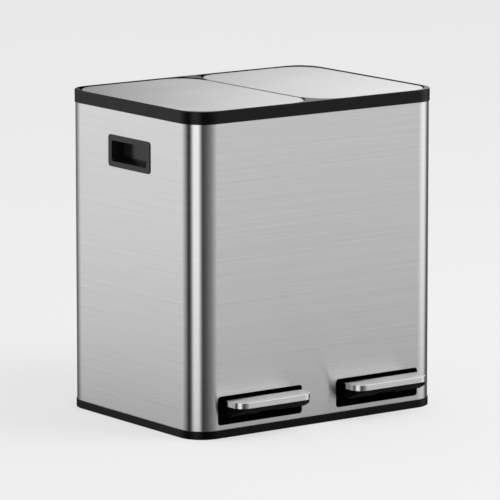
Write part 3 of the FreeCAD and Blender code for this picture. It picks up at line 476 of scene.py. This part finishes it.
class BIN_OT_lids(bpy.types.Operator):
    """Steel lids with their black liners and rubber buttons"""
    bl_idname = "bin.lids"
    bl_label = "Lids"

    def execute(self, context):
        settings = context.scene.bin_steel
        # The lids' folded edges get painted shade, darkened to 0.3 of their colour.
        lid = brushed_steel("brushed_lid", settings.lid_colour, settings.roughness,
                            settings.brushing, LID_SCRATCHES, axis="X", turn=0.0,
                            stretch=0.7, edge=0.3)
        dress(both("lid_panel"), lid)
        plastic = context.scene.bin_plastic
        liner = satin_plastic("liner_black", plastic.black, plastic.roughness, plastic.grain)
        dress(both("lid_liner"), liner)
        dress(both("lid_bumpers"), rubber("button_rubber", (0.03, 0.03, 0.03)))
        return {"FINISHED"}


class BIN_OT_mouldings(bpy.types.Operator):
    """Black rim, base, grips, pedal boxes, inner floor and rod guides"""
    bl_idname = "bin.mouldings"
    bl_label = "Black mouldings"

    def execute(self, context):
        settings = context.scene.bin_plastic
        black = satin_plastic("satin_black", settings.black, settings.roughness, settings.grain)
        dress(["top_frame", "base_tray", "inner_floor"], black)
        dress(both("rod_guide"), black)
        grip = satin_plastic("grip_black", (0.006, 0.006, 0.006), roughness=0.20,
                             depth=settings.grain, gloss=1.42)
        dress(both("side_handle"), grip)
        box = satin_plastic("box_black", (0.012, 0.012, 0.012), roughness=0.40,
                            depth=settings.grain)
        dress(both("pedal_housing"), box)
        dress(["antislip_pads"], rubber("pad_rubber", (0.03, 0.03, 0.03)))
        return {"FINISHED"}


class BIN_OT_buckets(bpy.types.Operator):
    """Grey inner buckets"""
    bl_idname = "bin.buckets"
    bl_label = "Buckets"

    def execute(self, context):
        settings = context.scene.bin_plastic
        grey = satin_plastic("bucket_grey", settings.inside, roughness=0.42,
                             depth=settings.grain)
        dress(both("bucket"), grey)
        return {"FINISHED"}


class BIN_OT_pedals(bpy.types.Operator):
    """Pedal caps and their black bodies"""
    bl_idname = "bin.pedals"
    bl_label = "Pedals"

    def execute(self, context):
        settings = context.scene.bin_steel
        cap = brushed_steel("satin_cap", settings.pedal_colour, settings.roughness + 0.04,
                            settings.brushing, CAP_SCRATCHES, axis="Z", turn=UPRIGHT,
                            stretch=0.9)
        dress(both("pedal_cover"), cap)
        plastic = context.scene.bin_plastic
        pad = satin_plastic("pedal_black", plastic.black, roughness=0.45,
                            depth=plastic.grain, gloss=1.12)
        dress(both("pedal_pad"), pad)
        return {"FINISHED"}


class BIN_OT_works(bpy.types.Operator):
    """Levers, axles, clips, screws, push rods and cranks"""
    bl_idname = "bin.works"
    bl_label = "Pedal works"

    def execute(self, context):
        zinc = plated_steel("zinc_plate", (0.55, 0.56, 0.58))
        dress(both("pedal_lever", "pedal_axle", "axle_clips", "pedal_screws", "push_rod",
                   "rod_pin", "lid_crank", "crank_screws", "guide_screws", "hinge_pins"), zinc)
        dress(["deck_screws"], zinc)
        white = satin_plastic("natural_white", (0.70, 0.70, 0.68), roughness=0.45,
                              depth=context.scene.bin_plastic.grain)
        dress(both("lever_bush", "rod_head", "rod_foot"), white)
        return {"FINISHED"}


class BIN_PT_panel(bpy.types.Panel):
    bl_idname = "BIN_PT_panel"
    bl_label = "Recycling bin"
    bl_space_type = "VIEW_3D"
    bl_region_type = "UI"
    bl_category = "Bin"

    def draw(self, context):
        for operator in OPERATORS:
            self.layout.operator(operator.bl_idname)
        for group in ("bin_steel", "bin_plastic", "bin_studio"):
            box = self.layout.box()
            settings = getattr(context.scene, group)
            for name in settings.__annotations__:
                box.prop(settings, name)


SETTINGS = (("bin_steel", BinSteelSettings), ("bin_plastic", BinPlasticSettings),
            ("bin_studio", BinStudioSettings))
OPERATORS = (BIN_OT_studio, BIN_OT_body, BIN_OT_lids, BIN_OT_mouldings, BIN_OT_buckets,
             BIN_OT_pedals, BIN_OT_works)


def register():
    for name, group in SETTINGS:
        bpy.utils.register_class(group)
        setattr(bpy.types.Scene, name, PointerProperty(type=group))
    for operator in OPERATORS:
        bpy.utils.register_class(operator)
    bpy.utils.register_class(BIN_PT_panel)


def unregister():
    bpy.utils.unregister_class(BIN_PT_panel)
    for operator in reversed(OPERATORS):
        bpy.utils.unregister_class(operator)
    for name, group in reversed(SETTINGS):
        delattr(bpy.types.Scene, name)
        bpy.utils.unregister_class(group)


def main():
    register()
    for operator in OPERATORS:
        family, name = operator.bl_idname.split(".")
        getattr(getattr(bpy.ops, family), name)()


if __name__ == "__main__":
    main()
